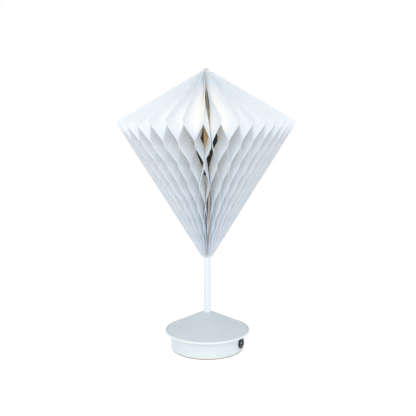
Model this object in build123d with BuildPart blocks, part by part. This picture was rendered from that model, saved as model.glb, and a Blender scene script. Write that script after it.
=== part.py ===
"""Table lamp: a honeycomb paper shade that turns on a slim stem above a weighted round base.

Millimetres. +Z is up, the front is -Y, and the origin is on the table under the stem.
An azimuth is measured from the front towards +X. The shade is a book of paper leaves opened
right round the stem. Neighbouring leaves are glued to each other along level rows, in turn on
one side and on the other, so each leaf waves between its two neighbours. A step is the angle
from one ridge to the next: the paper is opened wider in front than elsewhere.
"""
from build123d import *
from math import atan2, cos, radians, sin, sqrt, tan
import os

# Whole lamp
lamp_height = 340.0
shade_height = 225.0

# Stem and spindle
stem_radius = 4.4
stem_wall = 1.0
stem_shoulder_radius = 5.2
stem_shoulder_height = 1.2
stem_shoulder_edge = 0.55
spindle_radius = 1.8
spindle_edge = 0.3
running_gap = 0.06
seat_gap = 0.05

# Paper shade
shade_radius = 106.6
corner_drop = 63.9
seam_azimuth = 3.2
wide_step = 11.0
wide_steps_right = 2
wide_steps_left = 6
narrow_steps = 32
leaf_thickness = 0.25
glue_line = 0.02
glue_pitch = 32.0
glue_width = 8.0
wave_margin = 2.0
foot_width = 1.8
seam_card_thickness = 0.3
seam_card_margin = 0.6
seam_card_reach = 52.0
pleats_together = 2

# Cut-out in every leaf, round the light
cavity_radius = 62.0
cavity_low_rise = 63.0
cavity_mid_rise = 142.0
cavity_high_rise = 175.0

# The seam card's own, wider cut-out
seam_cut_radius = 110.0
seam_cut_low_rise = 36.0
seam_cut_high_rise = 190.0

# Spine tubes, rest collar and top cap
sleeve_wall = 0.8
sleeve_glue = 0.04
collar_radius = 5.6
collar_height = 1.6
collar_edge = 0.4
cap_radius = 2.9
cap_height = 3.2
cap_roof = 1.1
cap_edge = 0.9
cap_play = 0.3

# Light
core_radius = 14.0
core_flat = 12.6
core_height = 60.0
core_taper_height = 20.0
core_rise = 99.0
core_edge = 1.0
core_foot_radius = 5.8
stem_insert = 18.0
lead_bore_radius = 2.5
strip_count = 4
strip_width = 7.0
strip_height = 32.0
strip_thickness = 1.0
strip_edge = 0.4
strip_below_top = 4.5
spindle_insert = 10.0

# Base
drum_radius = 45.0
drum_wall = 1.2
pad_thickness = 1.0
pad_inset = 0.6
pad_edge = 0.2
plate_thickness = 1.5
plate_play = 0.2
bead_width = 3.8
cover_sheet = 1.2
cover_apex = 44.8
cover_flat_radius = 7.2
shoulder_radius = 43.6
shoulder_height = 27.4
shoulder_bend = 26.4
lip_height = 22.3
lip_radius = 1.6
ballast_radius = 29.0
ballast_height = 12.0
ballast_edge = 1.0
post_count = 3
post_radius = 3.5
post_circle = 22.0
screw_radius = 1.5
screw_head_radius = 2.9
screw_bite = 9.0
screw_tip = 0.5
screw_slot = 0.6
screw_slot_depth = 0.85
post_bore_spare = 1.0
thread_gap = 0.05
nut_flange_radius = 6.6
nut_flange_height = 1.5
nut_height = 6.0
nut_across = 12.0
stem_thread = 2.0

# Power socket
socket_azimuth = 63.0
socket_height = 11.7
socket_flange_radius = 6.5
socket_flange = 2.0
socket_barrel_radius = 5.4
socket_depth = 9.0
socket_edge = 0.5
socket_bore_radius = 2.75
socket_bore_depth = 9.0
socket_pin_radius = 1.05
socket_pin_setback = 0.6
socket_nut_across = 14.0
socket_nut_height = 2.0

# Driver board and leads
board_length = 28.0
board_width = 22.0
board_thickness = 1.6
board_pad = 0.1
board_corner = 1.5
board_hole_radius = 1.1
board_hole_inset = 2.5
capacitor_place = (-8.0, 4.5)
capacitor_radius = 3.0
capacitor_height = 8.0
coil_place = (-7.5, -4.5)
coil_size = (6.0, 6.0, 3.2)
chip_place = (5.0, 5.5)
chip_size = (5.0, 4.0, 1.6)
resistor_place = (2.5, -6.0)
resistor_size = (3.2, 1.6, 0.8)
lead_radius = 0.5
lead_spacing = 2.4
lead_tail = 3.5
lead_rise = 3.5
lead_clearance = 5.5
lead_landing = 12.5
lead_bends = (1.6, 3.0, 2.0)
stem_lead_spare = 4.0

# Places that follow from the sizes above
shade_bottom = lamp_height - shade_height
shade_apex = lamp_height + 0.5
corner_z = shade_apex - corner_drop
sleeve_bore = stem_radius + running_gap
sleeve_radius = sleeve_bore + sleeve_wall
spine_radius = sleeve_radius + sleeve_glue
foot_radius = spine_radius + foot_width
narrow_step = (360 - (wide_steps_right + wide_steps_left) * wide_step) / narrow_steps
steps = (
    [wide_step] * wide_steps_right + [narrow_step] * narrow_steps + [wide_step] * wide_steps_left
)
top_slope = corner_drop / shade_radius
cavity_low = shade_bottom + cavity_low_rise
cavity_mid = shade_bottom + cavity_mid_rise
cavity_high = shade_bottom + cavity_high_rise
cavity = ((0, cavity_low), (cavity_radius, cavity_mid), (0, cavity_high))
seam_cut = (
    (0, shade_bottom + seam_cut_low_rise),
    (seam_cut_radius, cavity_mid),
    (0, shade_bottom + seam_cut_high_rise),
)
core_bottom = shade_bottom + core_rise
core_top = core_bottom + core_height
plate_bottom = pad_thickness
plate_top = plate_bottom + plate_thickness
ballast_bottom = plate_top + seat_gap
ballast_top = ballast_bottom + ballast_height
cone_fall = atan2(cover_apex - shoulder_height, shoulder_radius - cover_flat_radius)
bend_x = shoulder_radius - shoulder_bend * sin(cone_fall)
bend_z = shoulder_height - shoulder_bend * cos(cone_fall)
lip_x = bend_x + sqrt(shoulder_bend**2 - (lip_height - bend_z) ** 2)
drum_top = bend_z + sqrt((shoulder_bend - cover_sheet) ** 2 - (drum_radius - bend_x) ** 2) - seat_gap


def beyond(start, end, distance):
    """The point that lies distance past end on the line from start."""
    run = (end[0] - start[0], end[1] - start[1])
    length = sqrt(run[0] ** 2 + run[1] ** 2)
    return end[0] + run[0] / length * distance, end[1] + run[1] / length * distance


def save(piece, name):
    """Labels a finished piece and writes its file."""
    piece.part.label = name
    export_step(piece.part, f"parts/{name}.step")


def radial_plane(azimuth, distance, height=0.0):
    """A plane square to a radius of the lamp. Its normal points outwards and its x axis level."""
    turn = radians(azimuth)
    outwards = (sin(turn), -cos(turn), 0)
    return Plane(
        origin=(outwards[0] * distance, outwards[1] * distance, height),
        x_dir=(cos(turn), sin(turn), 0),
        z_dir=outwards,
    )


def spin(azimuth):
    """Turns what is modelled along +X to an azimuth."""
    return Location((0, 0, 0), (0, 0, azimuth - 90))


os.makedirs("parts", exist_ok=True)

# ---------------------------------------------------------------- base

under_apex = cover_apex - cover_sheet
flat_under = cover_flat_radius - cover_sheet * tan(cone_fall / 2)
sheet_x = shoulder_radius - cover_sheet * sin(cone_fall)
sheet_z = shoulder_height - cover_sheet * cos(cone_fall)

with BuildPart() as base_cover:
    with BuildSketch(Plane.XZ):
        with BuildLine():
            Line((0, cover_apex), (cover_flat_radius, cover_apex))
            Line((cover_flat_radius, cover_apex), (shoulder_radius, shoulder_height))
            RadiusArc((shoulder_radius, shoulder_height), (lip_x, lip_height), shoulder_bend)
            lip_in = beyond((bend_x, bend_z), (lip_x, lip_height), -cover_sheet)
            Line((lip_x, lip_height), lip_in)
            RadiusArc(lip_in, (sheet_x, sheet_z), cover_sheet - shoulder_bend)
            Line((sheet_x, sheet_z), (flat_under, under_apex))
            Line((flat_under, under_apex), (0, under_apex))
            Line((0, under_apex), (0, cover_apex))
        make_face()
        with Locations((lip_x, lip_height)):
            Circle(lip_radius)
    revolve(axis=Axis.Z)
    with Locations((0, 0, cover_apex)):
        Hole(stem_radius + seat_gap)
    with BuildPart(mode=Mode.PRIVATE) as posts:
        with BuildSketch(Plane.XY.offset(ballast_top + seat_gap)):
            with PolarLocations(post_circle, post_count):
                Circle(post_radius)
        extrude(amount=cover_apex)
        with BuildSketch(Plane.XZ):
            with BuildLine():
                Polyline(
                    (0, 0),
                    (sheet_x, 0),
                    (sheet_x, sheet_z + cover_sheet / 2),
                    (flat_under, under_apex + cover_sheet / 2),
                    (0, under_apex + cover_sheet / 2),
                    close=True,
                )
            make_face()
        revolve(axis=Axis.Z, mode=Mode.INTERSECT)
    add(posts.part)
    with BuildSketch(Plane.XY.offset(ballast_top + seat_gap)):
        with PolarLocations(post_circle, post_count):
            Circle(screw_radius + thread_gap)
    extrude(amount=screw_bite + post_bore_spare, mode=Mode.SUBTRACT)
save(base_cover, "base_cover")

with BuildPart() as base_drum:
    with BuildSketch(Plane.XZ):
        with Locations((drum_radius - drum_wall, plate_bottom)):
            Rectangle(drum_wall, drum_top - plate_bottom, align=(Align.MIN, Align.MIN))
        with Locations((drum_radius - drum_wall, plate_top + seat_gap)):
            Rectangle(bead_width, drum_wall, align=(Align.MAX, Align.MIN))
    revolve(axis=Axis.Z)
    with BuildSketch(radial_plane(socket_azimuth, 0, socket_height)):
        Circle(socket_barrel_radius + seat_gap)
    extrude(amount=drum_radius + 1, mode=Mode.SUBTRACT)
save(base_drum, "base_drum")

with BuildPart() as base_plate:
    with BuildSketch(Plane.XY.offset(plate_bottom)):
        Circle(drum_radius - drum_wall - plate_play)
        with PolarLocations(post_circle, post_count):
            Circle(screw_radius + thread_gap, mode=Mode.SUBTRACT)
    extrude(amount=plate_thickness)
    with Locations(Plane.XY.offset(plate_bottom).rotated((180, 0, 0))):
        with PolarLocations(post_circle, post_count):
            CounterSinkHole(
                screw_radius + thread_gap, screw_head_radius + thread_gap, 2 * plate_thickness
            )
save(base_plate, "base_plate")

with BuildPart() as foot_pad:
    with BuildSketch():
        Circle(drum_radius - pad_inset)
    extrude(amount=pad_thickness)
    chamfer(foot_pad.faces().sort_by(Axis.Z)[0].edges(), pad_edge)
save(foot_pad, "foot_pad")

with BuildPart() as ballast_disc:
    with BuildSketch(Plane.XY.offset(ballast_bottom)):
        Circle(ballast_radius)
        with PolarLocations(post_circle, post_count):
            Circle(screw_radius + plate_play, mode=Mode.SUBTRACT)
    extrude(amount=ballast_height)
    ballast_rims = ballast_disc.edges().filter_by(GeomType.CIRCLE).sort_by(SortBy.RADIUS)[-2:]
    chamfer(ballast_rims, ballast_edge)
save(ballast_disc, "ballast_disc")

head_height = screw_head_radius - screw_radius
screw_top = ballast_top + seat_gap + screw_bite
with BuildPart() as base_screws:
    with BuildPart(mode=Mode.PRIVATE) as screw:
        with BuildSketch(Plane.XZ):
            with BuildLine():
                Polyline(
                    (0, plate_bottom + seat_gap),
                    (screw_head_radius, plate_bottom + seat_gap),
                    (screw_radius, plate_bottom + seat_gap + head_height),
                    (screw_radius, screw_top - screw_tip),
                    (screw_radius - screw_tip, screw_top),
                    (0, screw_top),
                    close=True,
                )
            make_face()
        revolve(axis=Axis.Z)
        with BuildSketch(Plane.XY.offset(plate_bottom + seat_gap)):
            Rectangle(screw_radius * 2, screw_slot)
            Rectangle(screw_slot, screw_radius * 2)
        extrude(amount=screw_slot_depth, mode=Mode.SUBTRACT)
    with PolarLocations(post_circle, post_count):
        add(screw.part)
save(base_screws, "base_screws")

# ---------------------------------------------------------------- stem

nut_top = under_apex - seat_gap
stem_bottom = nut_top - nut_height - stem_thread
stem_top = core_bottom + stem_insert
shoulder_bottom = cover_apex + seat_gap

with BuildPart() as stem_tube:
    with BuildSketch(Plane.XY.offset(stem_bottom)):
        Circle(stem_radius)
    extrude(amount=stem_top - stem_bottom)
    with BuildSketch(Plane.XY.offset(shoulder_bottom)):
        Circle(stem_shoulder_radius)
    extrude(amount=stem_shoulder_height)
    shoulder_rims = stem_tube.edges().filter_by(GeomType.CIRCLE).sort_by(SortBy.RADIUS)[-2:]
    fillet(shoulder_rims.sort_by(Axis.Z)[-1:], stem_shoulder_edge)
    with BuildSketch(Plane.XY.offset(stem_bottom)):
        Circle(stem_radius - stem_wall)
    extrude(amount=stem_top - stem_bottom, mode=Mode.SUBTRACT)
save(stem_tube, "stem_tube")

with BuildPart() as stem_nut:
    with BuildSketch(Plane.XY.offset(nut_top - nut_flange_height)):
        Circle(nut_flange_radius)
    extrude(amount=nut_flange_height)
    with BuildSketch(Plane.XY.offset(nut_top - nut_height)):
        RegularPolygon(nut_across / 2, 6, major_radius=False)
    extrude(amount=nut_height - nut_flange_height)
    with Locations((0, 0, nut_top)):
        Hole(stem_radius + thread_gap)
save(stem_nut, "stem_nut")

collar_top = shade_bottom - seat_gap
with BuildPart() as rest_collar:
    with BuildSketch(Plane.XY.offset(collar_top - collar_height)):
        Circle(collar_radius)
        Circle(stem_radius + thread_gap, mode=Mode.SUBTRACT)
    extrude(amount=collar_height)
    chamfer(rest_collar.faces().sort_by(Axis.Z)[0].edges().sort_by(SortBy.RADIUS)[-1:], collar_edge)
save(rest_collar, "rest_collar")

# ---------------------------------------------------------------- light

with BuildPart() as led_core:
    with BuildSketch(Plane.XZ):
        with BuildLine():
            Polyline(
                (0, core_bottom),
                (core_foot_radius, core_bottom),
                (core_radius, core_bottom + core_taper_height),
                (core_radius, core_top - core_edge),
                (core_radius - core_edge, core_top),
                (0, core_top),
                close=True,
            )
        make_face()
    revolve(axis=Axis.Z)
    for corner in range(strip_count):
        with BuildSketch(radial_plane(corner * 360 / strip_count, core_flat, core_bottom)):
            Rectangle(2 * core_radius, 2 * core_height, align=(Align.CENTER, Align.MIN))
        extrude(amount=core_radius, mode=Mode.SUBTRACT)
    with BuildSketch(Plane.XY.offset(core_bottom)):
        Circle(stem_radius + thread_gap)
    extrude(amount=stem_insert + seat_gap, mode=Mode.SUBTRACT)
    with BuildSketch(Plane.XY.offset(core_bottom)):
        Circle(lead_bore_radius)
    extrude(amount=core_height - spindle_insert - core_edge, mode=Mode.SUBTRACT)
    with BuildSketch(Plane.XY.offset(core_top - spindle_insert)):
        Circle(spindle_radius + thread_gap)
    extrude(amount=spindle_insert, mode=Mode.SUBTRACT)
save(led_core, "led_core")

strip_top = core_top - strip_below_top
with BuildPart() as led_strips:
    for corner in range(strip_count):
        strip_azimuth = corner * 360 / strip_count
        with BuildSketch(radial_plane(strip_azimuth, core_flat + seat_gap, strip_top)):
            Rectangle(strip_width, strip_height, align=(Align.CENTER, Align.MAX))
        extrude(amount=strip_thickness)
    fillet(led_strips.edges().filter_by(Axis.Z), strip_edge)
save(led_strips, "led_strips")

cap_bottom = lamp_height - cap_height
spindle_bottom = core_top - spindle_insert + seat_gap
spindle_top = lamp_height - cap_roof
with BuildPart() as spindle:
    with BuildSketch(Plane.XY.offset(spindle_bottom)):
        Circle(spindle_radius)
    extrude(amount=spindle_top - spindle_bottom)
    chamfer(spindle.edges().filter_by(GeomType.CIRCLE), spindle_edge)
save(spindle, "spindle")

with BuildPart() as top_cap:
    with BuildSketch(Plane.XY.offset(cap_bottom)):
        Circle(cap_radius)
    extrude(amount=cap_height)
    fillet(top_cap.faces().sort_by(Axis.Z)[-1].edges(), cap_edge)
    with BuildSketch(Plane.XY.offset(cap_bottom)):
        Circle(spindle_radius + thread_gap)
    extrude(amount=spindle_top - cap_bottom + seat_gap, mode=Mode.SUBTRACT)
save(top_cap, "top_cap")

# ---------------------------------------------------------------- power socket

socket_face = drum_radius + seat_gap + socket_flange
with BuildPart() as socket_body:
    with BuildSketch(radial_plane(socket_azimuth, socket_face, socket_height)):
        Circle(socket_flange_radius)
    extrude(amount=-socket_flange)
    flange_face = socket_body.faces().sort_by(Axis.Y)[0]
    chamfer(flange_face.edges(), socket_edge)
    with BuildSketch(radial_plane(socket_azimuth, drum_radius + seat_gap, socket_height)):
        Circle(socket_barrel_radius)
    extrude(amount=-socket_depth)
    with BuildSketch(radial_plane(socket_azimuth, socket_face, socket_height)):
        Circle(socket_bore_radius)
    extrude(amount=-socket_bore_depth, mode=Mode.SUBTRACT)
save(socket_body, "socket_body")

pin_back = socket_face - socket_bore_depth + seat_gap
pin_length = socket_bore_depth - seat_gap - socket_pin_setback
with BuildPart() as socket_pin:
    with BuildSketch(radial_plane(socket_azimuth, pin_back, socket_height)):
        Circle(socket_pin_radius)
    extrude(amount=pin_length)
save(socket_pin, "socket_pin")

nut_reach = socket_nut_across / sqrt(3)
drum_bore = drum_radius - drum_wall
socket_nut_face = sqrt(drum_bore**2 - nut_reach**2) - seat_gap
with BuildPart() as socket_nut:
    with BuildSketch(radial_plane(socket_azimuth, socket_nut_face, socket_height)):
        RegularPolygon(socket_nut_across / 2, 6, major_radius=False)
        Circle(socket_barrel_radius + thread_gap, mode=Mode.SUBTRACT)
    extrude(amount=-socket_nut_height)
save(socket_nut, "socket_nut")

# ---------------------------------------------------------------- driver and leads

board_bottom = ballast_top + board_pad
board_top = board_bottom + board_thickness
with BuildPart() as driver_board:
    with BuildSketch(Plane.XY.offset(board_bottom)):
        RectangleRounded(board_length, board_width, board_corner)
        with GridLocations(board_length - 2 * board_hole_inset, board_width - 2 * board_hole_inset, 2, 2):
            Circle(board_hole_radius, mode=Mode.SUBTRACT)
    extrude(amount=board_thickness)
save(driver_board, "driver_board")

parts_bottom = board_top + seat_gap
with BuildPart() as driver_parts:
    with Locations((*capacitor_place, parts_bottom)):
        Cylinder(capacitor_radius, capacitor_height, align=(Align.CENTER, Align.CENTER, Align.MIN))
    for place, size in (
        (coil_place, coil_size),
        (chip_place, chip_size),
        (resistor_place, resistor_size),
    ):
        with Locations((*place, parts_bottom)):
            Box(*size, align=(Align.CENTER, Align.CENTER, Align.MIN))
save(driver_parts, "driver_parts")

outlet = radial_plane(socket_azimuth, 0)
lead_plane = Plane(origin=(0, 0, 0), x_dir=outlet.z_dir, z_dir=-outlet.x_dir)
lead_crest = ballast_top + lead_clearance
tag_end = drum_radius - socket_depth - seat_gap
with BuildPart() as socket_leads:
    for side in (-0.5, 0.5):
        with BuildLine(lead_plane.offset(side * lead_spacing)) as route:
            FilletPolyline(
                (tag_end, socket_height),
                (tag_end - lead_tail, socket_height),
                (tag_end - lead_tail - lead_rise, lead_crest),
                (lead_landing, lead_crest),
                (lead_landing, parts_bottom),
                radius=lead_bends,
            )
        with BuildSketch(Plane(origin=route.line @ 0, z_dir=route.line % 0)):
            Circle(lead_radius)
        sweep(path=route.line)
save(socket_leads, "socket_leads")

with BuildPart() as stem_leads:
    with BuildSketch(Plane.XY.offset(parts_bottom)):
        with GridLocations(lead_spacing, lead_spacing, 2, 1):
            Circle(lead_radius)
    extrude(amount=core_top - spindle_insert - stem_lead_spare - board_top)
save(stem_leads, "stem_leads")

# ---------------------------------------------------------------- shade

with BuildPart() as lower_sleeve:
    with BuildSketch(Plane.XY.offset(shade_bottom)):
        Circle(sleeve_radius)
        Circle(sleeve_bore, mode=Mode.SUBTRACT)
    extrude(amount=cavity_low_rise)
save(lower_sleeve, "lower_sleeve")

upper_sleeve_top = cap_bottom - cap_play
with BuildPart() as upper_sleeve:
    with BuildSketch(Plane.XY.offset(cavity_high)):
        Circle(sleeve_radius)
        Circle(spindle_radius + running_gap, mode=Mode.SUBTRACT)
    extrude(amount=upper_sleeve_top - cavity_high)
save(upper_sleeve, "upper_sleeve")


def flat_leaf(thickness, margin=0.0, reach=shade_radius, cut=cavity):
    """A flat leaf along +X: half of the shade's kite, less the triangle cut.

    A reach below the shade's radius cuts the kite's outer corner off upright.
    """
    foot = foot_radius - margin / 2
    rim = shade_radius - margin
    with BuildPart() as blank:
        with BuildSketch(Plane.XZ.offset(-thickness / 2)):
            with BuildLine():
                Polyline(
                    (spine_radius, shade_bottom + margin),
                    (foot, shade_bottom + margin),
                    (rim, corner_z),
                    (spine_radius, shade_apex - top_slope * spine_radius - margin),
                    close=True,
                )
            make_face()
            Rectangle(reach, 2 * lamp_height, align=(Align.MIN, Align.CENTER), mode=Mode.INTERSECT)
            with BuildLine():
                Polyline(*cut, close=True)
            make_face(mode=Mode.SUBTRACT)
        extrude(amount=thickness)
    return blank.part


def wave_section(radius, half_angle, seam_inset):
    """A leaf's section square to its own radius, waving from the ridge side to the groove side."""
    half_space = radius * tan(radians(half_angle)) - (glue_line + leaf_thickness) / 2
    rows = int(shade_height / glue_pitch) + 2
    middle = []
    for row in range(rows):
        offset = half_space if row % 2 == 0 else seam_inset - half_space
        depth = glue_width / 2 + row * glue_pitch
        for edge in (-glue_width / 2, glue_width / 2):
            middle.append((offset, shade_apex - top_slope * radius - depth - edge))
    near = [(y + leaf_thickness / 2, z) for y, z in middle]
    far = [(y - leaf_thickness / 2, z) for y, z in reversed(middle)]
    return near + far


def paper_leaf(step, seam_inset=0.0):
    """One waved leaf along +X, with its ridge side towards +Y, for ridges one step apart."""
    with BuildPart() as leaf:
        for radius in (spine_radius - wave_margin, shade_radius + wave_margin):
            with BuildSketch(Plane.YZ.offset(radius)):
                with BuildLine():
                    Polyline(*wave_section(radius, step / 4, seam_inset), close=True)
                make_face()
        loft(ruled=True)
        add(flat_leaf(shade_radius / 4), mode=Mode.INTERSECT)
    return leaf.part


leaves = {step: paper_leaf(step) for step in (wide_step, narrow_step)}
end_leaf = paper_leaf(wide_step, seam_card_thickness / 2)

for first in range(0, len(steps), pleats_together):
    with BuildPart() as pleats:
        for ridge in range(first, min(first + pleats_together, len(steps))):
            ridge_azimuth = seam_azimuth - wide_step / 2 + sum(steps[: ridge + 1])
            step_before = steps[ridge]
            step_after = steps[(ridge + 1) % len(steps)]
            near_leaf = end_leaf if ridge == 0 else leaves[step_before]
            far_leaf = end_leaf if ridge == len(steps) - 1 else leaves[step_after]
            with Locations(spin(ridge_azimuth - step_before / 4)):
                add(near_leaf)
            with Locations(spin(ridge_azimuth + step_after / 4)):
                add(mirror(far_leaf, about=Plane.XZ, mode=Mode.PRIVATE))
    save(pleats, f"pleats_{first // pleats_together + 1:02d}")

with BuildPart() as seam_card:
    with Locations(spin(seam_azimuth)):
        add(flat_leaf(seam_card_thickness - glue_line, seam_card_margin, seam_card_reach, seam_cut))
save(seam_card, "seam_card")
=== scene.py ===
import random
from math import atan2, cos, degrees, exp, pi, radians, sin, tan

import bmesh
import bpy
from mathutils import Matrix, Vector


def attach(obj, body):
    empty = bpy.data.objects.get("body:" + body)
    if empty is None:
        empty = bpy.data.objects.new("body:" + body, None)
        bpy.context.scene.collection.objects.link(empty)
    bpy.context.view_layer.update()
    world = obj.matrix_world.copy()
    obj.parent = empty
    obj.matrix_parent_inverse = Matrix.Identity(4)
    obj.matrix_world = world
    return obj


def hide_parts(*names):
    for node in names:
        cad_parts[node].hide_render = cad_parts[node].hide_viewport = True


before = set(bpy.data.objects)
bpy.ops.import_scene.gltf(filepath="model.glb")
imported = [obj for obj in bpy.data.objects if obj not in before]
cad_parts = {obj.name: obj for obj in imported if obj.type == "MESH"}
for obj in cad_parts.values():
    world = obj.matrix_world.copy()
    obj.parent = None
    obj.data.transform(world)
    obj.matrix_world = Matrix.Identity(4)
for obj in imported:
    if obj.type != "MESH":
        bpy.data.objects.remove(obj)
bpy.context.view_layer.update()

# ---------------------------------------------------------------- camera
# It stands 0.68 m in front of the stem, level with the light, and looks a little down.
# The lamp leans a quarter of a degree in the picture, which is the camera's own roll.
camera_distance = 0.6797
camera_height = 0.2482
camera_swing = radians(-0.118)
camera_dip = radians(6.23)
camera_roll = radians(-0.27)
view = bpy.data.cameras.new("camera")
view.sensor_width = 36.0
view.lens = 48.7
camera = bpy.data.objects.new("camera", view)
camera.matrix_world = (
    Matrix.Translation((0.0, -camera_distance, camera_height))
    @ Matrix.Rotation(camera_swing, 4, "Z")
    @ Matrix.Rotation(pi / 2 - camera_dip, 4, "X")
    @ Matrix.Rotation(camera_roll, 4, "Z")
)
bpy.context.collection.objects.link(camera)
bpy.context.scene.camera = camera
bpy.context.scene.view_settings.view_transform = "Standard"

# Light passes between the white walls of a paper cell many times before it is lost.
paper_bounces = 24
bpy.context.scene.cycles.max_bounces = paper_bounces
bpy.context.scene.cycles.diffuse_bounces = paper_bounces


# ---------------------------------------------------------------- floor, backdrop and lamps
# A white table top and a white surround, a little brighter in front. Rays straight from the
# camera, mirrors and glass see it as plain white, and the table keeps a faint shadow of the lamp.
def add_node(tree, kind, values=None, **settings):
    """Adds a shader node. values maps its sockets to numbers, or to other nodes' outputs."""
    made = tree.nodes.new("ShaderNode" + kind)
    for setting, value in settings.items():
        setattr(made, setting, value)
    for socket, value in (values or {}).items():
        if isinstance(value, bpy.types.NodeSocket):
            tree.links.new(value, made.inputs[socket])
        else:
            made.inputs[socket].default_value = value
    return made


def combine(tree, operation, first, second):
    """One result of two numbers, either of which may be another node's output."""
    return add_node(tree, "Math", {0: first, 1: second}, operation=operation).outputs[0]


def seen_straight(tree):
    """1 for camera, glossy and transmission rays, and 0 for the light that falls on the lamp."""
    rays = add_node(tree, "LightPath").outputs
    mirrored = rays["Is Glossy Ray"]
    through_glass = rays["Is Transmission Ray"]
    clear = combine(tree, "MAXIMUM", mirrored, through_glass)
    return combine(tree, "MAXIMUM", rays["Is Camera Ray"], clear)


front_light = 0.90
back_light = 0.62
world = bpy.data.worlds.new("surround")
bpy.context.scene.world = world
world.use_nodes = True
surround = world.node_tree
heading = add_node(surround, "TexCoord").outputs["Generated"]
towards_back = add_node(surround, "SeparateXYZ", {"Vector": heading}).outputs["Y"]
ambient = add_node(
    surround,
    "MapRange",
    {"Value": towards_back, "From Min": -1.0, "To Min": front_light, "To Max": back_light},
)
strength = add_node(
    surround,
    "MapRange",
    {"Value": seen_straight(surround), "To Min": ambient.outputs[0], "To Max": 1.0},
)
surround.links.new(strength.outputs[0], surround.nodes["Background"].inputs["Strength"])
surround.nodes["Background"].inputs["Color"].default_value = (1.0, 1.0, 1.0, 1.0)

table_white = 0.95
table_lift = 0.38
table_reach = 4.0
table_paint = bpy.data.materials.new("table_white")
table_paint.use_nodes = True
tree = table_paint.node_tree
tree.nodes.remove(tree.nodes["Principled BSDF"])
matt = add_node(tree, "BsdfDiffuse", {"Color": (table_white, table_white, table_white, 1.0)})
lift = combine(tree, "MULTIPLY", seen_straight(tree), table_lift)
glow = add_node(tree, "Emission", {"Color": (1.0, 1.0, 1.0, 1.0), "Strength": lift})
both = add_node(tree, "AddShader", {0: matt.outputs[0], 1: glow.outputs[0]})
tree.links.new(both.outputs[0], tree.nodes["Material Output"].inputs["Surface"])

bm = bmesh.new()
bmesh.ops.create_circle(bm, cap_ends=True, radius=table_reach, segments=96)
table_mesh = bpy.data.meshes.new("table_top")
bm.to_mesh(table_mesh)
bm.free()
table_mesh.materials.append(table_paint)
table = bpy.data.objects.new("table_top", table_mesh)
bpy.context.collection.objects.link(table)

aimed_at = Vector((0.0, 0.0, 0.2))
for name, spot, size, power in (
    ("front_lamp", Vector((-0.15, -1.6, 0.95)), 1.3, 6.5),
    ("top_lamp", Vector((0.1, -0.7, 1.6)), 1.0, 1.6),
):
    light = bpy.data.lights.new(name, "AREA")
    light.shape = "DISK"
    light.size = size
    light.energy = power
    lamp = bpy.data.objects.new(name, light)
    aim = (aimed_at - spot).to_track_quat("-Z", "Y")
    lamp.matrix_world = Matrix.Translation(spot) @ aim.to_matrix().to_4x4()
    bpy.context.collection.objects.link(lamp)


# ---------------------------------------------------------------- foot pad
# A disc of brown needle felt, stuck under the base plate so that the steel doesn't mark a table.
# Its rim is a little rounded by the die that cuts it.
def turned(*outline, sides=128):
    """A closed outline (radius, height, rounding) turned about +Z, in millimetres.
    rounding is how far from the corner its curve begins."""
    bm = bmesh.new()
    corners = [bm.verts.new((radius, 0.0, height)) for radius, height, _ in outline]
    for corner, following in zip(corners, corners[1:] + corners[:1]):
        if corner.co.x + following.co.x > 0:
            bm.edges.new((corner, following))
    for corner, (_, _, rounding) in zip(corners, outline):
        if rounding:
            bmesh.ops.bevel(
                bm,
                geom=[corner],
                offset=rounding,
                segments=6,
                profile=0.5,
                affect="VERTICES",
                material=-1,
            )
    bmesh.ops.spin(
        bm,
        geom=bm.verts[:] + bm.edges[:],
        cent=(0, 0, 0),
        axis=(0, 0, 1),
        angle=2 * pi,
        steps=sides,
        use_merge=True,
    )
    return bm


def make_piece(name, bm, finish, body, slot, *nodes, crease=35):
    """Makes an object of a mesh drawn in millimetres and sets it on its body, for its CAD nodes.
    Edges that turn by more than crease degrees stay sharp."""
    bmesh.ops.remove_doubles(bm, verts=bm.verts, dist=0.0005)
    bmesh.ops.recalc_face_normals(bm, faces=bm.faces)
    bmesh.ops.scale(bm, verts=bm.verts, vec=(0.001, 0.001, 0.001))
    for face in bm.faces:
        face.smooth = True
    for edge in bm.edges:
        edge.smooth = edge.calc_face_angle(0.0) < radians(crease)
    mesh = bpy.data.meshes.new(name)
    bm.to_mesh(mesh)
    bm.free()
    mesh.materials.append(finish)
    piece = bpy.data.objects.new(name, mesh)
    bpy.context.collection.objects.link(piece)
    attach(piece, body)
    if nodes:
        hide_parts(*nodes)
    return piece


def new_finish(name, colour, roughness, metallic=0.0, specular=0.5):
    """A material whose plain numbers sit on the shader's own sockets."""
    made = bpy.data.materials.new(name)
    made.use_nodes = True
    shader = made.node_tree.nodes["Principled BSDF"]
    shader.inputs["Base Color"].default_value = (*colour, 1.0)
    shader.inputs["Roughness"].default_value = roughness
    shader.inputs["Metallic"].default_value = metallic
    shader.inputs["Specular IOR Level"].default_value = specular
    return made


def drive(made, socket, value):
    """Links a node's output to one of the shader's sockets."""
    shader = made.node_tree.nodes["Principled BSDF"]
    made.node_tree.links.new(value, shader.inputs[socket])


def grain(made, scale, detail=4.0, stretch=(1.0, 1.0, 1.0)):
    """Noise on the object's own coordinates. scale is in patches to a metre."""
    place = add_node(made.node_tree, "TexCoord").outputs["Object"]
    mapped = add_node(made.node_tree, "Mapping", {"Vector": place, "Scale": stretch})
    return add_node(
        made.node_tree,
        "TexNoise",
        {"Vector": mapped.outputs[0], "Scale": scale, "Detail": detail},
    ).outputs["Fac"]


def colours(made, amount, low, high, start=0.3, end=0.7):
    """A colour that goes from low to high as amount goes from start to end."""
    ramp = add_node(made.node_tree, "ValToRGB", {"Fac": amount})
    ramp.color_ramp.elements[0].position = start
    ramp.color_ramp.elements[0].color = (*low, 1.0)
    ramp.color_ramp.elements[1].position = end
    ramp.color_ramp.elements[1].color = (*high, 1.0)
    return ramp.outputs[0]


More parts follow.
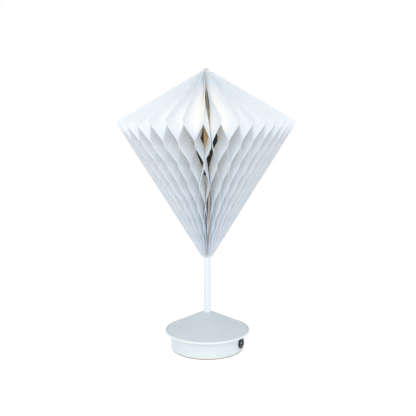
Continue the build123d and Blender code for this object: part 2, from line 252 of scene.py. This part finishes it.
def tint(made, amount, low, high, start=0.3, end=0.7):
    """Gives the shader such a colour."""
    drive(made, "Base Color", colours(made, amount, low, high, start, end))


def vary_gloss(made, amount, low, high):
    """Takes the roughness from low to high with amount."""
    spread = add_node(made.node_tree, "MapRange", {"Value": amount, "To Min": low, "To Max": high})
    drive(made, "Roughness", spread.outputs[0])


def relief(made, height, depth):
    """Raises the surface by height, up to a depth in metres."""
    bump = add_node(made.node_tree, "Bump", {"Height": height, "Distance": depth, "Strength": 1.0})
    drive(made, "Normal", bump.outputs[0])


felt = new_finish("brown_felt", (0.30, 0.21, 0.14), 0.95)
felt_fibres = grain(felt, 1400.0, 6.0, (1.0, 1.0, 3.0))
tint(felt, felt_fibres, (0.20, 0.13, 0.08), (0.42, 0.31, 0.21))
relief(felt, felt_fibres, 0.00025)

pad_radius = 44.4
pad_top = 1.0
bm = turned((0, 0, 0), (pad_radius, 0, 0.35), (pad_radius, pad_top, 0.15), (0, pad_top, 0))
make_piece("felt_pad", bm, felt, "stand", "pad", "foot_pad")


# ---------------------------------------------------------------- base plate, ballast and screws
# A zinc-plated steel plate closes the drum, and a cast disc on it weighs the lamp down. Three
# countersunk screws hold both up to posts inside the cover.
def dress(node, finish):
    """Gives a CAD node its finish."""
    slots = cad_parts[node].data.materials
    for index in range(len(slots)):
        slots[index] = finish
    if not slots:
        slots.append(finish)


zinc = new_finish("zinc_plate", (0.62, 0.63, 0.64), 0.35, 1.0)
zinc_spangle = grain(zinc, 160.0, 2.0)
tint(zinc, zinc_spangle, (0.50, 0.52, 0.54), (0.72, 0.73, 0.73), 0.35, 0.65)
vary_gloss(zinc, zinc_spangle, 0.25, 0.5)
dress("base_plate", zinc)

casting = new_finish("cast_ballast", (0.2, 0.2, 0.21), 0.7, 0.6)
sand = grain(casting, 900.0, 6.0)
tint(casting, sand, (0.12, 0.12, 0.125), (0.27, 0.27, 0.28))
relief(casting, sand, 0.0003)
dress("ballast_disc", casting)

screw_steel = new_finish("screw_steel", (0.7, 0.7, 0.7), 0.3, 1.0)
turning_marks = grain(screw_steel, 500.0, 3.0, (1.0, 1.0, 6.0))
tint(screw_steel, turning_marks, (0.58, 0.58, 0.59), (0.76, 0.76, 0.75))
vary_gloss(screw_steel, turning_marks, 0.22, 0.42)
dress("base_screws", screw_steel)

# ---------------------------------------------------------------- driver board and leads
# A small constant-current board lies on the ballast: a reservoir capacitor, a coil, a chip and a
# resistor. Two leads come to it from the socket, and two go on up the stem to the light.
board_green = new_finish("board_green", (0.05, 0.24, 0.11), 0.45)
solder_mask = grain(board_green, 260.0, 2.0)
tint(board_green, solder_mask, (0.03, 0.17, 0.07), (0.07, 0.30, 0.14), 0.45, 0.55)
dress("driver_board", board_green)

part_black = new_finish("moulded_black", (0.05, 0.05, 0.05), 0.5)
mould = grain(part_black, 2200.0, 3.0)
tint(part_black, mould, (0.035, 0.035, 0.037), (0.07, 0.07, 0.07))
relief(part_black, mould, 0.00004)
dress("driver_parts", part_black)

lead_skin = new_finish("lead_skin", (0.55, 0.06, 0.05), 0.4)
skin = grain(lead_skin, 1200.0, 2.0)
tint(lead_skin, skin, (0.45, 0.04, 0.035), (0.62, 0.09, 0.07))
dress("socket_leads", lead_skin)
dress("stem_leads", lead_skin)


# ---------------------------------------------------------------- drum
# A short tube of steel sheet stands on the plate inside a turned-in bead. Its coat is the lamp's
# pale paint; the cover's is painted darker than it, as painted shade.
def powder_coat(name, low, high):
    """Satin powder coat: a very fine orange peel over a colour that varies slightly."""
    made = new_finish(name, high, 0.42, specular=0.45)
    patches = grain(made, 45.0, 3.0)
    tint(made, patches, low, high)
    vary_gloss(made, patches, 0.36, 0.48)
    relief(made, grain(made, 1300.0, 3.0), 0.00003)
    return made


drum_coat = powder_coat("drum_coat", (0.80, 0.875, 0.90), (0.84, 0.91, 0.93))
drum_radius = 45.0
drum_bore = 43.8
drum_bottom = 1.0
drum_top = 25.24
bead_bottom = 2.55
bead_top = 3.75
bead_reach = 40.0
bm = turned(
    (drum_radius, drum_bottom, 0.5),
    (drum_radius, drum_top, 0),
    (drum_bore, drum_top, 0),
    (drum_bore, bead_top, 0.3),
    (bead_reach, bead_top, 0.2),
    (bead_reach, bead_bottom, 0.2),
    (drum_bore, bead_bottom, 0),
    (drum_bore, drum_bottom, 0.2),
)
make_piece("drum_wall", bm, drum_coat, "stand", "drum_paint", "base_drum")

# ---------------------------------------------------------------- power socket
# A moulded panel socket for a barrel plug: a round flange outside the drum, a threaded barrel
# through its wall, a plated pin in the bore and a nut inside.
socket_azimuth = 63.0
socket_height = 11.7
socket_face = 47.05
socket_turn = (
    Matrix.Rotation(radians(socket_azimuth - 90), 3, "Z") @ Matrix.Rotation(radians(90), 3, "Y")
)


def set_in_wall(bm):
    """Lays a piece turned about +Z along the socket's axis, from the flange's face inwards."""
    bmesh.ops.rotate(bm, verts=bm.verts, cent=(0, 0, 0), matrix=socket_turn)
    outwards = socket_turn @ Vector((0, 0, 1))
    face = outwards * socket_face + Vector((0, 0, socket_height))
    bmesh.ops.translate(bm, verts=bm.verts, vec=face)


socket_black = new_finish("socket_black", (0.02, 0.021, 0.024), 0.24, specular=0.3)
socket_skin = grain(socket_black, 1800.0, 2.0)
tint(socket_black, socket_skin, (0.014, 0.015, 0.017), (0.03, 0.031, 0.034))
vary_gloss(socket_black, socket_skin, 0.18, 0.34)
flange_radius = 6.5
flange_back = -2.0
barrel_radius = 5.4
barrel_end = -11.0
plug_bore = 2.75
bore_end = -9.0
bm = turned(
    (plug_bore, 0.0, 0.35),
    (flange_radius, 0.0, 0.9),
    (flange_radius, flange_back, 0.1),
    (barrel_radius, flange_back, 0),
    (barrel_radius, barrel_end, 0.3),
    (0, barrel_end, 0),
    (0, bore_end, 0),
    (plug_bore, bore_end, 0.1),
    sides=64,
)
set_in_wall(bm)
make_piece("socket_shell", bm, socket_black, "stand", "socket_black", "socket_body")

pin_plate = new_finish("pin_plate", (0.85, 0.85, 0.86), 0.15, 1.0)
pin_rub = grain(pin_plate, 900.0, 2.0)
tint(pin_plate, pin_rub, (0.76, 0.76, 0.78), (0.90, 0.90, 0.90))
vary_gloss(pin_plate, pin_rub, 0.1, 0.25)
pin_radius = 1.05
pin_foot = -8.95
pin_tip = -0.6
bm = turned(
    (0, pin_foot, 0),
    (pin_radius, pin_foot, 0),
    (pin_radius, pin_tip, 0.7),
    (0, pin_tip, 0),
    sides=32,
)
set_in_wall(bm)
make_piece("socket_contact", bm, pin_plate, "stand", "pin_plate", "socket_pin")
dress("socket_nut", part_black)

# ---------------------------------------------------------------- cover
# One sheet of steel spun to a shallow cone with a round shoulder and a rolled lip. Three posts
# inside take the screws. Its coat is painted darker than the drum's as painted shade from the
# lampshade above, and paler on the lip as a painted highlight.
def from_axis(tree, place):
    """How far a place is from the lamp's axis."""
    level = add_node(tree, "VectorMath", {0: place, 1: (1.0, 1.0, 0.0)}, operation="MULTIPLY")
    length = add_node(tree, "VectorMath", {0: level.outputs[0]}, operation="LENGTH")
    return length.outputs["Value"]


# Darker than the drum and stem: painted shade cast by the lampshade above.
shaded_cover_coat = powder_coat("shaded_cover_coat", (0.60, 0.68, 0.72), (0.64, 0.72, 0.76))
# The rolled lip is painted paler: a painted highlight along it.
lip_highlight_starts = 0.0511
lip_highlight_full = 0.0521
lip_highlight_colour = (0.86, 0.92, 0.94, 1.0)
tree = shaded_cover_coat.node_tree
reach = from_axis(tree, add_node(tree, "TexCoord").outputs["Object"])
lip_highlight_mask = add_node(tree, "MapRange", {"Value": reach, "From Min": lip_highlight_starts, "From Max": lip_highlight_full})
coat_with_lip_highlight = add_node(tree, "Mix", {"Factor": lip_highlight_mask.outputs[0]}, data_type="RGBA")
shaded_cone_coat = tree.nodes["Principled BSDF"].inputs["Base Color"].links[0].from_socket
tree.links.new(shaded_cone_coat, coat_with_lip_highlight.inputs[6])
coat_with_lip_highlight.inputs[7].default_value = lip_highlight_colour
drive(shaded_cover_coat, "Base Color", coat_with_lip_highlight.outputs[2])

sheet = 1.2
cone_top = 44.8
cone_flat = 7.2
cone_fall = radians(25.55)
stem_hole = 4.45
shoulder = Vector((47.65, 25.46))
shoulder_run = 4.49
lip = Vector((50.83, 22.3))
lip_radius = 1.6
lip_inside = lip_radius * 0.8
down = (lip - shoulder).normalized()
out = Vector((-down.y, down.x))
shoulder_turn = (atan2(-down.y, down.x) - cone_fall) / 2


def by_lip(along, across, rounding):
    """A corner of the outline that far along and across the sheet from the lip's middle."""
    place = lip + down * along + out * across
    return place.x, place.y, rounding


def join(bm, other):
    """Moves what other holds into bm."""
    mesh = bpy.data.meshes.new("joined")
    other.to_mesh(mesh)
    other.free()
    bm.from_mesh(mesh)
    bpy.data.meshes.remove(mesh)


under_shoulder = shoulder - sheet / cos(shoulder_turn) * Vector(
    (sin(cone_fall + shoulder_turn), cos(cone_fall + shoulder_turn))
)
bm = turned(
    (stem_hole, cone_top, 0),
    (cone_flat, cone_top, 1.2),
    (*shoulder, shoulder_run),
    by_lip(-lip_radius, 0, 0.7),
    by_lip(-lip_radius, lip_radius, lip_inside),
    by_lip(lip_radius, lip_radius, lip_radius),
    by_lip(lip_radius, -lip_radius, lip_radius),
    by_lip(-lip_inside, -lip_radius, 0.6),
    by_lip(-lip_inside, -sheet, 0),
    (*under_shoulder, shoulder_run - sheet * tan(shoulder_turn)),
    (cone_flat - sheet * tan(cone_fall / 2), cone_top - sheet, 1.0),
    (stem_hole, cone_top - sheet, 0),
    sides=160,
)
post_circle = 22.0
post_radius = 3.5
post_bottom = 14.6
post_top = 37.0
screw_bore = 1.55
bore_top = 24.6
posts = turned(
    (0, post_top, 0),
    (post_radius, post_top, 0),
    (post_radius, post_bottom, 0.3),
    (screw_bore, post_bottom, 0.2),
    (screw_bore, bore_top, 0),
    (0, bore_top, 0),
    sides=24,
)
bmesh.ops.translate(posts, verts=posts.verts, vec=(post_circle, 0, 0))
bmesh.ops.spin(
    posts,
    geom=posts.verts[:] + posts.edges[:] + posts.faces[:],
    cent=(0, 0, 0),
    axis=(0, 0, 1),
    angle=4 * pi / 3,
    steps=2,
    use_duplicate=True,
)
join(bm, posts)
make_piece("spun_cover", bm, shaded_cover_coat, "stand", "cover_paint", "base_cover")

# ---------------------------------------------------------------- stem, its nut and the rest collar
# A thin steel tube with a small shoulder stands on the cover and is pulled tight by a nut below.
# A turned collar near the top carries the shade.
stem_coat = powder_coat("stem_coat", (0.84, 0.91, 0.935), (0.88, 0.94, 0.96))
stem_radius = 4.4
stem_bore = 3.4
stem_bottom = 35.55
stem_top = 232.0
shoulder_foot = 44.85
shoulder_head = shoulder_foot + 1.2
shoulder_radius = 5.2
bm = turned(
    (stem_bore, stem_bottom, 0.2),
    (stem_radius, stem_bottom, 0.3),
    (stem_radius, shoulder_foot, 0),
    (shoulder_radius, shoulder_foot, 0.15),
    (shoulder_radius, shoulder_head, 0.55),
    (stem_radius, shoulder_head, 0.15),
    (stem_radius, stem_top, 0.3),
    (stem_bore, stem_top, 0.2),
    sides=64,
)
make_piece("stem_pipe", bm, stem_coat, "stand", "stem_paint", "stem_tube")
dress("stem_nut", screw_steel)

collar_top = 114.95
collar_bottom = 113.35
collar_radius = 5.6
bm = turned(
    (stem_hole, collar_top, 0.1),
    (collar_radius, collar_top, 0.2),
    (collar_radius, collar_bottom, 0.4),
    (stem_hole, collar_bottom, 0.1),
    sides=64,
)
make_piece("shade_collar", bm, stem_coat, "stand", "stem_paint", "rest_collar")

# ---------------------------------------------------------------- light
# A black anodised core with four flats is pressed on the stem. On each flat is a strip of small
# diodes under one bead of amber silicone, with bare copper pads at its top end.
anodised = new_finish("anodised_black", (0.02, 0.02, 0.022), 0.5, 0.3)
anodised_grain = grain(anodised, 700.0, 4.0, (1.0, 1.0, 0.15))
tint(anodised, anodised_grain, (0.012, 0.012, 0.013), (0.035, 0.034, 0.034))
vary_gloss(anodised, anodised_grain, 0.38, 0.6)

core_bottom = 214.0
core_top = 274.0
core_flat = 12.6
core_radius = 14.0
core_foot_radius = 5.8
cone_height = 20.0
spindle_hole = 1.85
hole_depth = 10.0
hole_cone = 2.0
bm = turned(
    (stem_hole, core_bottom, 0.2),
    (core_foot_radius, core_bottom, 0.4),
    (core_radius, core_bottom + cone_height, 1.5),
    (core_radius, core_top, 0.8),
    (spindle_hole, core_top, 0.3),
    (spindle_hole, core_top - hole_depth, 0),
    (stem_hole, core_top - hole_depth - hole_cone, 0),
    sides=96,
)
for quarter in range(4):
    square = Matrix.Rotation(quarter * pi / 2, 3, "Z") @ Vector((1, 0, 0))
    cut = bmesh.ops.bisect_plane(
        bm,
        geom=bm.verts[:] + bm.edges[:] + bm.faces[:],
        plane_co=square * core_flat,
        plane_no=square,
        clear_outer=True,
    )
    rim = [edge for edge in cut["geom_cut"] if isinstance(edge, bmesh.types.BMEdge)]
    bmesh.ops.contextual_create(bm, geom=rim)
make_piece("light_core", bm, anodised, "stand", "core_black", "led_core", crease=25)

silicone = new_finish("amber_silicone", (0.78, 0.42, 0.13), 0.28)
phosphor_patches = grain(silicone, 420.0, 2.0, (1.0, 1.0, 0.6))
tint(silicone, phosphor_patches, (0.72, 0.40, 0.17), (0.86, 0.58, 0.33), 0.35, 0.65)
shader = silicone.node_tree.nodes["Principled BSDF"]
shader.inputs["Subsurface Weight"].default_value = 0.25
shader.inputs["Subsurface Radius"].default_value = (0.0015, 0.0008, 0.0003)

copper = new_finish("bare_pad", (0.95, 0.72, 0.25), 0.3, 0.6)
pad_wear = grain(copper, 1500.0, 3.0)
tint(copper, pad_wear, (0.80, 0.52, 0.15), (1.0, 0.80, 0.30))

strip_bottom = 237.5
strip_top = 268.2
strip_width = 7.0
strip_depth = 1.0
strip_gap = 0.05
strip_face = core_flat + strip_gap + strip_depth
beads = bmesh.new()
bmesh.ops.create_cube(
    beads,
    size=1.0,
    matrix=Matrix.LocRotScale(
        (0, strip_depth / 2 - strip_face, (strip_top + strip_bottom) / 2),
        None,
        (strip_width, strip_depth, strip_top - strip_bottom),
    ),
)
outer = [
    edge
    for edge in beads.edges
    if all(vert.co.y < strip_depth / 2 - strip_face for vert in edge.verts)
]
bmesh.ops.bevel(
    beads,
    geom=outer,
    offset=0.8,
    segments=5,
    profile=0.5,
    affect="EDGES",
    material=-1,
)

pad_size = (1.8, 0.5, 2.0)
pad_aside = 2.6
pad_lift = 1.6
pads = bmesh.new()
for side in (-pad_aside, pad_aside):
    middle = (side, -core_flat - strip_gap - pad_size[1] / 2, strip_top + pad_lift)
    bmesh.ops.create_cube(pads, size=1.0, matrix=Matrix.LocRotScale(middle, None, pad_size))
bmesh.ops.bevel(
    pads, geom=pads.edges[:], offset=0.2, segments=2, profile=0.5, affect="EDGES", material=-1
)
for bm in (beads, pads):
    bmesh.ops.spin(
        bm,
        geom=bm.verts[:] + bm.edges[:] + bm.faces[:],
        cent=(0, 0, 0),
        axis=(0, 0, 1),
        angle=3 * pi / 2,
        steps=3,
        use_duplicate=True,
    )
make_piece("light_strips", beads, silicone, "stand", "phosphor", "led_strips")
make_piece("strip_pads", pads, copper, "stand", "phosphor")

# ---------------------------------------------------------------- spindle and top cap
# A steel spindle stands in the top of the core and steadies the shade's upper tube. A small cap
# is pressed on it at the very top.
spindle_radius = 1.8
spindle_foot = 264.05
spindle_head = 338.9
bm = turned(
    (0, spindle_foot, 0),
    (spindle_radius, spindle_foot, 0.3),
    (spindle_radius, spindle_head, 0.3),
    (0, spindle_head, 0),
    sides=48,
)
make_piece("shade_spindle", bm, screw_steel, "stand", "screw_steel", "spindle")

cap_steel = new_finish("cap_steel", (0.56, 0.57, 0.58), 0.4, 0.5)
cap_marks = grain(cap_steel, 800.0, 3.0, (1.0, 1.0, 5.0))
tint(cap_steel, cap_marks, (0.50, 0.51, 0.52), (0.62, 0.63, 0.64))
vary_gloss(cap_steel, cap_marks, 0.28, 0.45)
cap_radius = 2.9
cap_bottom = 336.8
cap_top = 340.0
cap_roof = spindle_head + 0.05
bm = turned(
    (spindle_hole, cap_bottom, 0.1),
    (cap_radius, cap_bottom, 0.2),
    (cap_radius, cap_top, 1.1),
    (0, cap_top, 0),
    (0, cap_roof, 0),
    (spindle_hole, cap_roof, 0),
    sides=48,
)
make_piece("spindle_cap", bm, cap_steel, "stand", "cap_metal", "top_cap")

# ---------------------------------------------------------------- spine tubes
# Two short tubes of wound card line the middle of the shade. The lower one turns on the stem and
# the upper one on the spindle, and every leaf is glued to them.
card = new_finish("wound_card", (0.84, 0.82, 0.78), 0.9)
card_fibres = grain(card, 1500.0, 6.0, (1.0, 1.0, 0.3))
tint(card, card_fibres, (0.76, 0.74, 0.69), (0.90, 0.88, 0.85))
relief(card, card_fibres, 0.00006)
tube_radius = 5.26
for name, node, bore, bottom, top in (
    ("spine_low", "lower_sleeve", 4.46, 115.0, 178.0),
    ("spine_high", "upper_sleeve", 1.86, 290.0, 336.5),
):
    bm = turned(
        (bore, bottom, 0.1),
        (tube_radius, bottom, 0.15),
        (tube_radius, top, 0.15),
        (bore, top, 0.1),
        sides=48,
    )
    make_piece(name, bm, card, "shade", "spine", node)

# ---------------------------------------------------------------- paper leaves
# The shade is a book of paper leaves opened right round the spine. Neighbours are glued in level
# rows, in turn on one side and on the other, so the open leaves form diamond cells. Each piece is
# two ridges, of two leaves each. Opened by hand, its rows and ridges wander a little.
spine_radius = 5.3
foot_radius = 7.1
rim_radius = 106.6
shade_bottom = 115.0
apex = 340.5
corner_height = 276.6
top_slope = (apex - corner_height) / rim_radius
cavity = (178.0, 62.0, 257.0, 290.0)
cut_surround = 6.0

paper_thickness = 0.28
glue_line = 0.02
glue_pitch = 32.0
glue_half = 4.0
fold_sharpness = 0.8
wide_step = 11.0
narrow_step = 8.5
steps = [wide_step] * 2 + [narrow_step] * 32 + [wide_step] * 6
seam_azimuth = 3.2
row_count = 8
rng = random.Random(11)


def flat_sheet(cut, margin=0.0, row_height=2.0, columns=12, reach=rim_radius):
    """A flat leaf along +X cut from a grid whose rows follow the top edge. cut is the triangle
    left out beside the spine: its low end, how far out it reaches, at what height, its high end.
    Only faces up to cut_surround past it are split along it, which spares the rest small pieces."""
    width = rim_radius - margin - spine_radius
    depth = apex - top_slope * spine_radius - shade_bottom
    bm = bmesh.new()
    bmesh.ops.create_grid(
        bm,
        x_segments=columns,
        y_segments=round(depth / row_height),
        size=0.5,
        matrix=Matrix(
            (
                (width, 0, 0, spine_radius + width / 2),
                (0, 0, 1, 0),
                (-top_slope * width, -depth, 0, 0),
                (0, 0, 0, 1),
            )
        ),
    )
    middle = apex - margin - top_slope * (spine_radius + width / 2) - depth / 2
    bmesh.ops.translate(bm, verts=bm.verts, vec=(0, 0, middle))
    low_run = Vector((rim_radius - foot_radius, 0, corner_height - shade_bottom)).normalized()
    out_low = Vector((low_run.z, 0, -low_run.x))
    for place, normal in (
        (Vector((foot_radius, 0, shade_bottom)) - out_low * margin, out_low),
        (Vector((0, 0, shade_bottom + margin)), Vector((0, 0, -1))),
        (Vector((reach, 0, 0)), Vector((1, 0, 0))),
    ):
        bmesh.ops.bisect_plane(
            bm,
            geom=bm.verts[:] + bm.edges[:] + bm.faces[:],
            plane_co=place,
            plane_no=normal,
            clear_outer=True,
        )
    cut_low, cut_reach, cut_middle, cut_high = cut
    low = Vector((cut_reach, 0, cut_middle - cut_low)).normalized()
    high = Vector((cut_reach, 0, cut_middle - cut_high)).normalized()
    under = Vector((low.z, 0, -low.x))
    over = Vector((-high.z, 0, high.x))
    for start, normal in ((cut_low, under), (cut_high, over)):
        split_reach = cut_reach + cut_surround
        near = [face for face in bm.faces if face.calc_center_median().x < split_reach]
        edges = dict.fromkeys(edge for face in near for edge in face.edges)
        verts = dict.fromkeys(vert for face in near for vert in face.verts)
        bmesh.ops.bisect_plane(
            bm,
            geom=[*verts, *edges, *near],
            plane_co=(0, 0, start),
            plane_no=normal,
        )
    inside = [
        face
        for face in bm.faces
        if (face.calc_center_median() - Vector((0, 0, cut_low))).dot(under) < 0
        and (face.calc_center_median() - Vector((0, 0, cut_high))).dot(over) < 0
    ]
    bmesh.ops.delete(bm, geom=inside, context="FACES")
    bmesh.ops.remove_doubles(bm, verts=bm.verts, dist=0.02)
    return bm


def pull(depth, rows):
    """How far a leaf lies to its ridge side, from 0 to 1, at a depth below its top edge."""
    side = 1.0
    for near, far in zip(rows, rows[1:]):
        start = near + glue_half
        end = far - glue_half
        if depth <= start:
            return side
        if depth < end:
            run = (depth - start) / (end - start)
            part = fold_sharpness * run + (1 - fold_sharpness) * (1 - cos(pi * run)) / 2
            return side + (1 - 2 * side) * part
        side = 1.0 - side
    return side


# Under the top edge the leaves beside the seam are carried sideways, by up to seam_lean.
seam_lean = 3.3
lean_depth = 18
lean_start = 105
lean_run = 45
lean_spread = 14
spread_growth = 0.6
shut_run = 75
card_room = 1.0


def near_top(radius, depth, run):
    """1 at the top edge near the apex. It fades downwards, and outwards over the run."""
    return exp(-((depth / lean_depth) ** 2)) * min(1.0, max(0.0, (lean_start - radius) / run))


def lean(azimuth, radius, depth):
    """How far the paper is carried round, in degrees. The seam's top edges lean to the left."""
    at_seam = degrees(seam_lean * near_top(radius, depth, lean_run) / (radius + 2))
    from_seam = (azimuth - seam_azimuth + 180) % 360 - 180
    return -at_seam * exp(-((from_seam / (lean_spread + spread_growth * at_seam)) ** 2))


def lie_over(ridge, radius, depth):
    """How far the seam's own two ridges lie over towards it under the top edge, in degrees. They
    leave room for its card."""
    if 0 < ridge < len(steps) - 1:
        return 0.0
    open_by = max(0.0, wide_step / 2 - degrees(card_room / radius))
    shut = near_top(radius, depth, shut_run) * open_by
    return -shut if ridge == 0 else shut


def wander(size, count):
    """Small irregularities of up to that size."""
    return [rng.uniform(-size, size) for _ in range(count)]


row_wander = 0.8
turn_wander = 0.3
ridge_rows = [wander(row_wander, row_count) for _ in steps]
groove_rows = [wander(row_wander, row_count) for _ in steps]
ridge_turn = wander(turn_wander, len(steps))
groove_turn = wander(turn_wander, len(steps))
# The ridges beside the seam stand where the photograph shows them.
ridge_turn[:7] = (-0.3, -0.5, -0.3, 0.1, -0.2, -0.8, -0.6)
ridge_turn[-7:] = (-0.4, 0.1, 0.5, 0.7, 0.9, 0.2, 0.4)


def wave(bm, azimuth, half_angle, side, ridge, groove, inset=0.0):
    """Bends a flat sheet between its ridge and its groove, gives it thickness and turns it into
    place. side is 1 where the ridge lies towards higher azimuths, and -1 where towards lower."""
    drift = (ridge_rows[ridge], groove_rows[groove])
    rows = [glue_half + row * glue_pitch + drift[row % 2][row] for row in range(row_count)]
    to_groove = tan(radians(half_angle - side * groove_turn[groove]))
    gap = (glue_line + paper_thickness) / 2
    for vert in bm.verts:
        radius = vert.co.x
        depth = apex - top_slope * radius - vert.co.z
        part = pull(depth, rows)
        ridge_off = ridge_turn[ridge] + lie_over(ridge, radius, depth)
        to_ridge = tan(radians(half_angle + side * ridge_off))
        groove_side = max(0.0, radius * to_groove - gap - inset)
        ridge_side = max(-groove_side, radius * to_ridge - gap)
        vert.co.y = part * ridge_side - (1 - part) * groove_side + paper_thickness / 2
    bmesh.ops.solidify(bm, geom=bm.faces[:], thickness=paper_thickness)
    for vert in bm.verts:
        depth = apex - top_slope * vert.co.x - vert.co.z
        turn = radians(azimuth - 90 + lean(azimuth, vert.co.x, depth))
        across = side * vert.co.y
        vert.co.x, vert.co.y = (
            vert.co.x * cos(turn) - across * sin(turn),
            vert.co.x * sin(turn) + across * cos(turn),
        )


# Where the paper's painted warm tint for bounced light begins and where it is full, in metres
# inside the edge.
warm_bounce_starts = 0.007
warm_bounce_full = 0.028


def edge_reach(tree, height, low, low_radius, high, high_radius):
    """How far out the shade's edge is at a height, on its run from a low place to a high one."""
    run = {
        "Value": height,
        "From Min": low * 0.001,
        "From Max": high * 0.001,
        "To Min": low_radius * 0.001,
        "To Max": high_radius * 0.001,
    }
    return add_node(tree, "MapRange", run).outputs[0]


def deep_in(made):
    """0 at the shade's outer edges and 1 well inside, from the object's own coordinates."""
    tree = made.node_tree
    place = add_node(tree, "TexCoord").outputs["Object"]
    height = add_node(tree, "SeparateXYZ", {"Vector": place}).outputs["Z"]
    upper = edge_reach(tree, height, corner_height, rim_radius, apex, 0.0)
    lower = edge_reach(tree, height, shade_bottom, foot_radius, corner_height, rim_radius)
    edge = combine(tree, "MINIMUM", upper, lower)
    inset = combine(tree, "SUBTRACT", edge, from_axis(tree, place))
    run = {"Value": inset, "From Min": warm_bounce_starts, "From Max": warm_bounce_full}
    return add_node(tree, "MapRange", run).outputs[0]


paper = new_finish("honeycomb_paper", (0.86, 0.89, 0.93), 0.82, specular=0.2)
mottle = grain(paper, 900.0, 7.0, (1.0, 1.0, 0.35))
fibres = grain(paper, 3200.0, 5.0)
# Painted light: the paper is painted cool near its outer edges for the cool light on them, and warm
# deeper in for light bounced between the leaves.
painted_cool_light = colours(paper, mottle, (0.86, 0.898, 0.937), (0.895, 0.93, 0.965))
painted_warm_bounce = colours(paper, mottle, (0.975, 0.970, 0.955), (0.988, 0.984, 0.970))
tree = paper.node_tree
painted_light_tints = add_node(tree, "Mix", {"Factor": deep_in(paper)}, data_type="RGBA")
tree.links.new(painted_cool_light, painted_light_tints.inputs[6])
tree.links.new(painted_warm_bounce, painted_light_tints.inputs[7])
drive(paper, "Base Color", painted_light_tints.outputs[2])
relief(paper, fibres, 0.00004)

# The seam's own two leaves stop this far short of its middle, beside the card.
card_side = 0.46
blank = flat_sheet(cavity)
ridge_azimuth = seam_azimuth - wide_step / 2
for first in range(0, len(steps), 2):
    bm = bmesh.new()
    for ridge in (first, first + 1):
        before = steps[ridge]
        following = (ridge + 1) % len(steps)
        after = steps[following]
        ridge_azimuth += before
        for side, step, groove in ((1, before, ridge), (-1, after, following)):
            leaf = blank.copy()
            inset = card_side if groove == 0 else 0.0
            wave(leaf, ridge_azimuth - side * step / 4, step / 4, side, ridge, groove, inset)
            join(bm, leaf)
    number = f"{first // 2 + 1:02d}"
    make_piece("ridges_" + number, bm, paper, "shade", "paper", "pleats_" + number, crease=50)
blank.free()

# ---------------------------------------------------------------- seam card
# Where the book of leaves was closed, two narrow strips of brown card stiffen its end leaves: one
# under the top edge and one beside the foot. Each shows as a thin brown line in the seam's groove.
kraft = new_finish("kraft_card", (0.56, 0.43, 0.27), 0.9)
kraft_fibres = grain(kraft, 1300.0, 6.0, (1.0, 1.0, 0.4))
tint(kraft, kraft_fibres, (0.50, 0.37, 0.22), (0.63, 0.49, 0.32))
relief(kraft, kraft_fibres, 0.00008)
card_thickness = 0.9
card_reach = 52.0
card_cut = (151.0, 110.0, 257.0, 305.0)
bm = flat_sheet(card_cut, margin=0.6, row_height=4.0, columns=8, reach=card_reach)
for vert in bm.verts:
    vert.co.y = card_thickness / 2
bmesh.ops.solidify(bm, geom=bm.faces[:], thickness=card_thickness)
# White paper covers its two sides, so that only its rim is brown.
for face in bm.faces:
    face.normal_update()
    face.material_index = 1 if abs(face.normal.y) > 0.9 else 0
for vert in bm.verts:
    depth = apex - top_slope * vert.co.x - vert.co.z
    turn = radians(seam_azimuth - 90 + lean(seam_azimuth, vert.co.x, depth))
    vert.co = Matrix.Rotation(turn, 3, "Z") @ vert.co
strip = make_piece("seam_strip", bm, kraft, "shade", "kraft", "seam_card")
strip.data.materials.append(paper)
